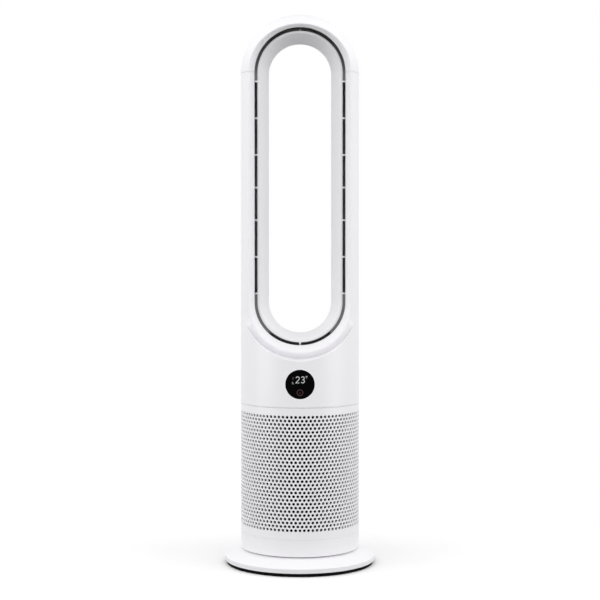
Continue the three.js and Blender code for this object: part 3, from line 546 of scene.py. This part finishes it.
# The cap starts at the seam, a little above the arch's centre, and its top is where the CAD has it.
def makeArchCap():
    shape, seam = crest["front"], body["archSeam"][1]
    path = arcPath(0, 180, seam)
    path[:, 2] -= (seam - body["spineTop"]) * path[:, 1]
    walls = []
    for wall in (0.0, body["wall"]):
        corners = crestCorners(path, shape, -1, wall)
        front = crestSection(corners, shape, wall)
        outer = circleSection(body["radius"] - wall, corners[0, -1, 1], body["shellSplit"][0])[1:]
        outer = np.broadcast_to(outer, (len(path), *outer.shape))
        walls.append([(alongLoop(np.concatenate([front, outer], 1), path), "LRTB")])
    place(walledMesh("arch_cap_skin", *walls), "tower", "white_shell", "arch_cap")


frontSplit, rearSplit = body["shellSplit"]
makeShell("front_shell_skin", "front_shell", crest["front"], -1, frontSplit, body["archSeam"][0])
makeShell("rear_shell_skin", "rear_shell", crest["rear"], 1, rearSplit, body["spineTop"])
makeArchCap()
print("shells made")


# The liner of the loop, with the ribs and webs in its air slot. Sections are [offset, depth], and
# places along the limbs are heights over and under their middle, all in millimetres.
liner = {
    "section": [
        [73.3, -27.5], [69.3, -27.5], [55.4, 1], [54, 10], [55, 24], [58.8, 40], [58.8, 44],
        [61.2, 44], [61.2, 39], [57.4, 24], [56.4, 10], [57.7, 1.5], [71.8, -20.5], [73.3, -22.5],
    ],
    "reach": [0.9, 0.9, 5, 6, 6, 2, 0.4, 0.4, 2, 5, 5, 5, 0.5, 0.5],
    "rimLead": 7,  # how far the rim comes forward at the top of the arch
    "rib": 2.8,
    "ribRound": 0.3,
    "ribSegments": 2,
    "ribOffsets": [0, 56, 119, 182],
    "ribReach": [72.8, 77.7],
    "ribDepth": [-28, -22.5],
    "topRibDepth": [-25, -20],
    "web": [[72.6, -25.4], [82, -25.4], [82, -23.6], [72.6, -23.6]],
    "webAngle": 45,
    "webSteps": 40,
    "webSink": 12,
    "webSinkPower": 0.7,  # under 1, so that the web sinks faster at first
}
linerNodes = [name for name in frame["nodes"] if name.startswith("liner_")]


def boxPatch(low, high):  # a box between two opposite corners
    low, high = np.array(low), np.array(high)
    x, y, z = np.meshgrid([0, 1], [0, 1], [0, 1], indexing="ij")
    corners = np.stack([x, y, z], -1).reshape(-1, 3)
    quads = [[0, 1, 3, 2], [4, 6, 7, 5], [0, 4, 5, 1], [2, 3, 7, 6], [0, 2, 6, 4], [1, 5, 7, 3]]
    return low + corners * (high - low), np.array(quads)


# The section runs once round the loop. A point moves with the slot's lip by its depth's share of the
# rim's: forward on its way up the arch, and inwards.
def makeLiner():
    section = roundedLoop(asPoints(liner["section"]), liner["reach"])
    top, low = body["spineTop"], body["spineBottom"]
    path = np.concatenate([
        arcPath(0, 180, top)[:-1], limbPath(-1.0, top, low)[:-1],
        arcPath(180, 360, low)[:-1], limbPath(1.0, low, top)[:-1],
    ])
    rimDepth = liner["section"][0][1] * mm
    front = (section[:, 1] / rimDepth).clip(0, 1)
    section = np.repeat(section[None], len(path), 0)
    section[..., 1] -= liner["rimLead"] * mm * front * path[:, 1:2].clip(0) ** 2
    section[..., 0] -= front * drawnIn(path, crest["front"]["lipDraw"])[:, None]
    piece = meshFrom("nozzle_liner_skin", [sweptPatch(section, path, True)])
    place(dress(piece, "liner_plastic"), "tower", "liner_plastic", *linerNodes)


# Small blocks cross the slot on both limbs, and one at the loop's top and its bottom.
def makeRibs():
    top, low = body["spineTop"], body["spineBottom"]
    middle, half = (top + low) / 2, liner["rib"] / 2 * mm
    near, far = asPoints(liner["ribReach"])
    front, back = asPoints(liner["ribDepth"])
    topFront, topBack = asPoints(liner["topRibDepth"])
    topDraw, lowDraw = crest["front"]["lipDraw"]
    offsets = asPoints(liner["ribOffsets"])
    patches = []
    for height in np.unique(np.concatenate([middle - offsets, middle + offsets])):
        patches.append(boxPatch([near, front, height - half], [far, back, height + half]))
        patches.append(boxPatch([-far, front, height - half], [-near, back, height + half]))
    above, below = top - topDraw, low + lowDraw
    patches.append(boxPatch([-half, topFront, above + near], [half, topBack, above + far]))
    patches.append(boxPatch([-half, front, below - far], [half, back, below - near]))
    piece = meshFrom("slot_ribs", patches)
    bevel = piece.modifiers.new("round", "BEVEL")
    bevel.width, bevel.segments = liner["ribRound"] * mm, liner["ribSegments"]
    place(dress(piece, "liner_plastic"), "tower", "liner_plastic")


# A plate closes the slot from each outermost rib round the arc. It is level under the loop's lower end,
# and sinks into the duct on its way up the arch. Its dark grey is painted shade, for the darkness inside
# the slot.
def makeWebs():
    section, steps = asPoints(liner["web"]), liner["webSteps"]
    outermost = (body["spineTop"] - body["spineBottom"]) / 2 - liner["ribOffsets"][-1] * mm
    turn = np.radians(np.linspace(0, liner["webAngle"], steps))
    sinking = liner["webSink"] * mm * np.linspace(0, 1, steps)[:, None] ** liner["webSinkPower"]
    patches = []
    for centre, sign, sink in ((body["spineTop"], 1, sinking), (body["spineBottom"], -1, 0)):
        for side in (-1, 1):
            arc = np.stack([side * np.cos(turn), sign * np.sin(turn), np.full(steps, centre)], -1)
            path = np.concatenate([[[side, 0, centre - sign * outermost]], arc])
            stations = np.repeat(section[None], len(path), 0)
            stations[..., 0] -= drawnIn(path, crest["front"]["lipDraw"])[:, None]
            points, quads = sweptPatch(stations, path)
            points[1:, :, 1] += sink
            lastPoint = points.size // 3 - 1
            patches.append((points, np.concatenate([quads, oneQuad, lastPoint - oneQuad])))
    piece = meshFrom("slot_webs", patches)
    place(dress(piece, "web_painted_shade"), "tower", "liner_plastic")


makeLiner()
makeRibs()
makeWebs()
print("liner made")


# The turned pieces of the base, the collar and the deck: outlines of [radius, height], with the
# reach that rounds each corner, in millimetres.
turnedPieces = {
    "foot_ring_skin": {
        "node": "foot_ring", "body": "base", "slot": "rubber",
        "outline": [[114, 0], [127, 0], [127, 5.8], [114, 5.8]],
        "reach": [0.5, 0.8, 0.4, 0.5],
    },
    "base_cover_skin": {
        "node": "base_cover", "body": "base", "slot": "white_shell",
        "outline": [
            [129.9, 6.1], [129.9, 13.4], [129, 14.2], [101, 25.2], [98, 26.2], [97, 26.2],
            [96.6, 23.7], [100, 22.6], [127, 11.8], [127.5, 6.1],
        ],
        "reach": [0.4, 0.5, 0.5, 1.2, 0.6, 0.3, 0.3, 1, 1, 0.3],
    },
    "lower_collar_skin": {
        "node": "lower_collar", "body": "tower", "slot": "white_shell",
        "outline": [
            [84, 29.3], [97, 29.3], [97, 27.6], [101.5, 27.6], [102.5, 28.6], [102.5, 56.4],
            [101.9, 56.4], [101.9, 56.8], [100.3, 56.8], [100.3, 53.3], [96, 53.3], [96, 50.8],
            [100, 46.8], [100, 31.8], [84, 31.8],
        ],
        "reach": [0.2, 0.2, 0.2, 0.4, 0.5, 0.2, 0.1, 0.1, 0.3, 0.2, 0.2, 0.3, 0.5, 0.3, 0.2],
    },
    "top_deck_skin": {
        "node": "top_deck", "body": "tower", "slot": "white_shell",
        "outline": [
            [64.6, 272.3], [99.2, 272.3], [99.2, 277.9], [101.9, 277.9], [101.9, 279.1],
            [99.7, 279.1], [99.7, 287], [96.7, 287], [96.7, 275.3], [64.6, 275.3],
        ],
        "reach": [0.2, 0.2, 0.2, 0.2, 0.2, 0.2, 0.3, 0.3, 0.3, 0.2],
    },
}
for name, sizes in turnedPieces.items():
    outline = roundedLoop(asPoints(sizes["outline"]), sizes["reach"])
    piece = meshFrom(name, [turned(outline)])
    place(dress(piece, sizes["slot"]), sizes["body"], sizes["slot"], sizes["node"])
print("turned pieces made")


# The perforated covers. Each is laid flat first, as distances round the drum from the cover's
# middle, heights, and depths under its surface, and then wrapped.
grille = {
    "rows": 31,
    "firstRow": 72.5 * mm,
    "around": 88,  # cells in a row round both covers
    "holeRadius": 2.5 * mm,
    "edge": 0.25 * mm,  # rounding of a hole's rim
    "wall": 3 * mm,
    "sides": 12,  # points round a hole
    "bandRows": 3,
    "seamGap": 0.3 * mm,
    "topGap": 1.6 * mm,  # under the head
    "merge": 0.01 * mm,
}
halfRow = grille["around"] // 4  # cells on each side of a cover's middle
span = math.pi * body["radius"]  # half the drum's circumference
pitch = span / (grille["around"] / 2)
rowRise = pitch * math.sqrt(3) / 2
cellTop = pitch / math.sqrt(3)  # from a cell's centre to its upper corner


# A cell is a hexagon round one hole: rings of points from the hexagon's border in to the hole's
# rounded edge, down the hole's wall and out again on the inside.
def holeCells():
    wall, edge, hole, sides = (grille[key] for key in ("wall", "edge", "holeRadius", "sides"))
    turn = 2 * np.pi * np.arange(sides) / sides
    circle = np.stack([np.cos(turn), np.sin(turn)], -1)
    across = pitch / 2 / np.cos((turn + np.pi / 6) % (np.pi / 3) - np.pi / 6)
    border = across[:, None] * circle
    rings = [
        (border, 0.0), (circle * (hole + edge), 0.0), (circle * hole, edge),
        (circle * hole, wall), (border, wall),
    ]
    cell = np.stack([np.concatenate([flat, np.full((sides, 1), depth)], 1) for flat, depth in rings])
    centres = []
    for row in range(grille["rows"]):
        columns = np.arange(-halfRow, halfRow) + 0.5 if row % 2 else np.arange(1 - halfRow, halfRow)
        height = grille["firstRow"] + row * rowRise
        centres.append(np.stack(np.broadcast_arrays(columns * pitch, height, 0.0), -1))
    centres = np.concatenate(centres)
    starts = np.arange(len(centres))[:, None, None] * (len(rings) * sides)
    quads = gridQuads(len(rings), sides, False, True) + starts
    return (cell + centres[:, None, None]).reshape(-1, 3), quads.reshape(-1, 4)


# Half hexagons without a hole fill the ends of the rows that begin on the seam. A triangle has one
# of its corners twice.
def rowEnds():
    patches = []
    for row in range(0, grille["rows"], 2):
        height = grille["firstRow"] + row * rowRise
        for sign in (-1, 1):
            near, far = sign * (halfRow - 0.5) * pitch, sign * halfRow * pitch
            for depth in (0.0, grille["wall"]):
                side = [near, height, depth]
                low, high = [near, height - cellTop / 2, depth], [near, height + cellTop / 2, depth]
                lowEnd, highEnd = [far, height - cellTop, depth], [far, height + cellTop, depth]
                patches.append((np.array([low, lowEnd, highEnd, side]), oneQuad))
                patches.append((np.array([side, highEnd, high, side]), oneQuad))
    return patches


# Plain bands above and below meet the zigzag of the outermost cells, and their far edges are
# closed across the wall.
def plainBands(bottom, top):
    steps = np.arange(-2 * halfRow, 2 * halfRow + 1)
    zigzag = steps * pitch / 2
    wave = np.where(steps % 2 == 0, cellTop, cellTop / 2)
    firstRow, wall = grille["firstRow"], grille["wall"]
    lastRow = firstRow + (grille["rows"] - 1) * rowRise
    share = np.linspace(0, 1, grille["bandRows"])[:, None]
    flats = []
    for depth in (0.0, wall):
        for start, end in ((firstRow - wave, bottom), (lastRow + wave, top)):
            flats.append((zigzag, start + (end - start) * share, depth))
    for end in (bottom, top):
        flats.append((zigzag, end, np.array([[0.0], [wall]])))
    grids = [np.stack(np.broadcast_arrays(*flat), -1) for flat in flats]
    return [(grid, gridQuads(*grid.shape[:2])) for grid in grids]


# Distances become angles about the direction that the cover faces, squeezed a little for the gap
# at the seams.
def wrapped(points, facing):
    along, height, depth = points.reshape(-1, 3).T
    angle = facing + along / body["radius"] * (1 - grille["seamGap"] / span * 2)
    reach = body["radius"] - depth
    return np.stack([reach * np.cos(angle), reach * np.sin(angle), height], -1)


def makeCover(name, facing, node, bodyName):
    bottom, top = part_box(node)[0].z, body["headBottom"] - grille["topGap"]
    flat = [holeCells(), *rowEnds(), *plainBands(bottom, top)]
    patches = [(wrapped(points, facing), quads) for points, quads in flat]
    piece = meshFrom(name, patches, merge=grille["merge"])
    place(dress(piece, "white_shell"), bodyName, "white_shell", node)


makeCover("front_cover_skin", -math.pi / 2, "front_cover", "front_inlet")
makeCover("rear_cover_skin", math.pi / 2, "rear_cover", "rear_inlet")
print("covers made")


# The display: a black lens with plain digits and small marks. Lines are [sideways, upwards] from
# the lens's centre and strokes are widths, in millimetres.
display = {
    "radius": 24.75 * mm,
    "height": 318 * mm,
    "proud": 0.25 * mm,
    "depth": 2.4 * mm,
    "markLift": 0.04 * mm,
    "sides": 96,
    "rings": [0, 0.2, 0.4, 0.6, 0.8, 0.94, 0.985, 1],  # shares of the radius
    "ringDrops": [0, 0, 0, 0, 0, 0, 0.08, 0.3],
    "stroke": 1.3,
    "digits": {"2": -7.3, "3": 1.2},
    "digitSize": [6.8, 11.6],
    "digitBottom": 2.0,
    "digitSteps": 20,
    "twoArc": (165, -35),
    "twoSlope": [0.3, 0.6],  # where the slope meets the foot, from the foot's left end
    "threeArcs": [(155, -90), (90, -155)],
    "threeShares": [0.235, 0.265],  # the arcs' radii, of the digit's height
    "signal": [10.9, 10.2],
    "signalArcs": [0.6, 2.0, 3.4],
    "signalSweep": (60, 120),
    "signalSteps": 8,
    "signalStroke": 0.75,
    "smallMark": [
        [[-12.9, 4.6], [-12.9, 0.6]], [[-12.5, 4.0], [-10.6, 0.6]], [[-12.6, 1.0], [-10.6, 1.0]],
    ],
    "warmMark": [[[-12.5, 12.4], [-12.5, 8.0]], [[-10.9, 12.4], [-10.9, 8.0]]],
    "markStroke": 0.7,
    "ring": [0, -13.7],
    "ringRadius": 4.9,
    "ringSteps": 40,
    "ringBar": [[0, -12.9], [0, -15.9]],
    "ringStroke": 1.0,
    "colors": {
        "display_digits": (0.48, 0.49, 0.49),
        "display_small_mark": (0.22, 0.26, 0.23),
        "display_warm_mark": (0.045, 0.022, 0.026),
        "display_power_ring": (0.05, 0.004, 0.006),
    },
}


# A spot on the lens at [sideways, upwards] from its centre, lifted off its surface.
def onLens(flat, lift):
    reach = body["radius"] + display["proud"] + lift
    x, z = flat[..., 0], flat[..., 1]
    return np.stack([x, -np.sqrt(reach**2 - x**2), z + display["height"]], -1)


# Rings of points from the middle of the front out to its dropped edge, and back in behind it.
def makeLens():
    rings = np.array(display["rings"])[:, None] * display["radius"]
    drops = asPoints(display["ringDrops"])[:, None]
    turn = np.linspace(0, 2 * np.pi, display["sides"], endpoint=False)
    flat = np.stack([rings * np.cos(turn), rings * np.sin(turn)], -1)
    points = np.concatenate([onLens(flat, -drops), onLens(flat[::-1], -display["depth"])])
    piece = meshFrom("display_lens_skin", [(points, gridQuads(*points.shape[:2], False, True))])
    place(dress(piece, "display_glass"), "tower", "display_glass", "display_lens")


# A ribbon along a line: each spot's two edge points lie across the mean direction of its sides, half
# the stroke away from both sides, and no more than a whole stroke from the spot at a sharp turn.
def ribbon(line, stroke, closed=False, sharpest=0.5):
    spots = asPoints(line)
    ahead = np.roll(spots, -1, 0) - spots
    back = spots - np.roll(spots, 1, 0)
    if not closed:
        ahead[-1], back[0] = back[-1], ahead[0]
    along = unitOf(unitOf(ahead) + unitOf(back))
    across = np.stack([-along[:, 1], along[:, 0]], -1)
    straightness = (unitOf(ahead) * along).sum(-1, keepdims=True)
    mitre = stroke * mm / 2 / np.maximum(straightness, sharpest)
    edges = np.stack([spots - across * mitre, spots + across * mitre], 1)
    return onLens(edges, display["markLift"]), gridQuads(len(spots), 2, closed)


def circleLine(centre, radius, steps, start=0, end=360):
    angles = np.radians(np.linspace(start, end, steps, endpoint=abs(end - start) < 360))
    return np.array(centre) + radius * np.stack([np.cos(angles), np.sin(angles)], -1)


# A digit's line: a two is an arc that runs into a slope and a foot, a three is two arcs.
def digitLine(character, left):
    wide, tall = np.array(display["digitSize"]) - display["stroke"]
    low, steps = display["digitBottom"] + display["stroke"] / 2, display["digitSteps"]
    middle = left + display["digitSize"][0] / 2
    near, far = middle - wide / 2, middle + wide / 2
    if character == "2":
        arc = circleLine([middle, low + tall - wide / 2], wide / 2, steps, *display["twoArc"])
        return np.concatenate([arc, [np.add([near, low], display["twoSlope"]), [near, low], [far, low]]])
    upper, lower = np.array(display["threeShares"]) * tall
    upperArc, lowerArc = display["threeArcs"]
    top = circleLine([middle, low + tall - upper], upper, steps, *upperArc)
    return np.concatenate([top, circleLine([middle, low + lower], lower, steps, *lowerArc)[1:]])


# Turns a flat mesh over if its face nearest to the probe looks at the tower's axis.
def faceOutward(piece, probe):
    mesh = piece.data
    centres = np.zeros(len(mesh.polygons) * 3)
    normals = np.zeros(len(mesh.polygons) * 3)
    mesh.polygons.foreach_get("center", centres)
    mesh.polygons.foreach_get("normal", normals)
    centres, normals = centres.reshape(-1, 3), normals.reshape(-1, 3)
    nearest = np.argmin(np.linalg.norm(centres - np.array(probe), axis=1))
    if normals[nearest] @ (centres[nearest] * (1, 1, 0)) < 0:
        mesh.flip_normals()


def makeMark(name, patches):
    piece = meshFrom(name, patches)
    faceOutward(piece, (0, -body["radius"], display["height"]))
    finish[name] = glowing(name, display["colors"][name])
    place(dress(piece, name), "tower", "display_glass")


def makeMarks():
    lines = [(digitLine(*digit), display["stroke"]) for digit in display["digits"].items()]
    for radius in display["signalArcs"]:
        arc = circleLine(display["signal"], radius, display["signalSteps"], *display["signalSweep"])
        lines.append((arc, display["signalStroke"]))
    makeMark("display_digits", [ribbon(*line) for line in lines])
    thin, thick = display["markStroke"], display["ringStroke"]
    makeMark("display_small_mark", [ribbon(line, thin) for line in display["smallMark"]])
    makeMark("display_warm_mark", [ribbon(line, thin) for line in display["warmMark"]])
    ring = circleLine(display["ring"], display["ringRadius"], display["ringSteps"])
    makeMark("display_power_ring", [ribbon(ring, thick, True), ribbon(display["ringBar"], thick)])


makeLens()
makeMarks()
print("display made")


# The room, in metres: a pale floor, a world that is brighter above and in front, and two lamps.
room = {
    "white": (1, 1, 1, 1),
    "floorSize": 6,
    "floorFade": (0.14, 0.9),  # distances where the floor begins to fade and is gone
    "floorSeen": (0.925, 0.925, 0.925, 1),
    "floorBounce": (0.18, 0.18, 0.18, 1),  # its colour for the light that it throws back
    "ambient": (0.58, 1.24),
    "brightest": (0, -0.65, 0.65),
    "aim": (0, 0, 0.5),
    "lights": {
        "leftBox": {"at": (-3.0, -1.2, 0.6), "size": 2.2, "power": 39},
        "rightBox": {"at": (3.0, -1.2, 0.6), "size": 2.2, "power": 39},
    },
}


# The floor fades out with the distance from the object, and the white surroundings take its place.
def makeFloor():
    corners = np.array([[-1, -1, 0], [1, -1, 0], [1, 1, 0], [-1, 1, 0]]) * room["floorSize"] / 2
    plane = meshFrom("floor", [(corners, oneQuad)], outward=False)
    shader = Shader("paleFloor", {"Roughness": 0.7, "Specular IOR Level": 0.0})
    seen = shader.seenRays()
    shader.feed("Base Color", shader.blend(seen, room["floorBounce"], room["floorSeen"]))
    away = shader.node("ShaderNodeVectorMath", {"operation": "LENGTH"}, {0: shader.places}, "Value")
    near, far = room["floorFade"]
    inputs = {"Value": away, "From Min": near, "From Max": far}
    fade = shader.node("ShaderNodeMapRange", {"interpolation_type": "SMOOTHSTEP"}, inputs)
    clear = shader.node("ShaderNodeBsdfTransparent", {}, {})
    pale = Wire(shader, shader.surface.outputs[0])
    shader.showMix(fade * seen, pale, clear, "Material Output")
    plane.data.materials.append(shader.material)


# Light from all round, a little more of it from above and in front: its strength goes from the
# first ambient value to the second by the dot product of its direction and the brightest one.
def makeWorld():
    world = bpy.data.worlds.new("room")
    world.use_nodes = True
    nodes = Nodes(world.node_tree)
    direction = nodes.node("ShaderNodeTexCoord", {}, {}, "Generated")
    inputs = {0: direction, 1: room["brightest"]}
    toward = nodes.node("ShaderNodeVectorMath", {"operation": "DOT_PRODUCT"}, inputs, "Value")
    dim, bright = room["ambient"]
    inputs = {"Value": toward, "From Min": -1, "To Min": dim, "To Max": bright}
    strength = nodes.node("ShaderNodeMapRange", {}, inputs)
    inputs = {"Color": room["white"], "Strength": strength}
    light = nodes.node("ShaderNodeBackground", {}, inputs)
    white = nodes.node("ShaderNodeBackground", {}, {"Color": room["white"]})
    nodes.showMix(nodes.seenRays(), light, white, "World Output")
    nodes.tree.nodes.remove(nodes.tree.nodes["Background"])  # the one that a new world comes with
    bpy.context.scene.world = world


def makeLights():
    for name, sizes in room["lights"].items():
        light = bpy.data.lights.new(name, "AREA")
        light.size, light.energy = sizes["size"], sizes["power"]
        holder = bpy.data.objects.new(name, light)
        holder.location = sizes["at"]
        aim = Vector(room["aim"]) - Vector(sizes["at"])
        holder.rotation_euler = aim.to_track_quat("-Z", "Y").to_euler()
        bpy.context.scene.collection.objects.link(holder)


makeFloor()
makeWorld()
makeLights()
bpy.context.scene.view_settings.view_transform = "Standard"

camera = {
    "distance": 2.5537,
    "height": 0.5449,
    "pitch": 1.0815,  # degrees downwards
    "focalPixels": 1468.8,
    "shiftPixels": -23.5,
    "frame": 600,  # pixels across
    "sensor": 36,  # millimetres
}
lens = bpy.data.cameras.new("camera")
lens.sensor_width = camera["sensor"]
lens.lens = camera["focalPixels"] / camera["frame"] * camera["sensor"]
lens.shift_y = camera["shiftPixels"] / camera["frame"]
eye = bpy.data.objects.new("camera", lens)
eye.location = (0, -camera["distance"], camera["height"])
eye.rotation_euler = (math.radians(90 - camera["pitch"]), 0, 0)
bpy.context.scene.collection.objects.link(eye)
bpy.context.scene.camera = eye
print("room made")

print("scene ready")
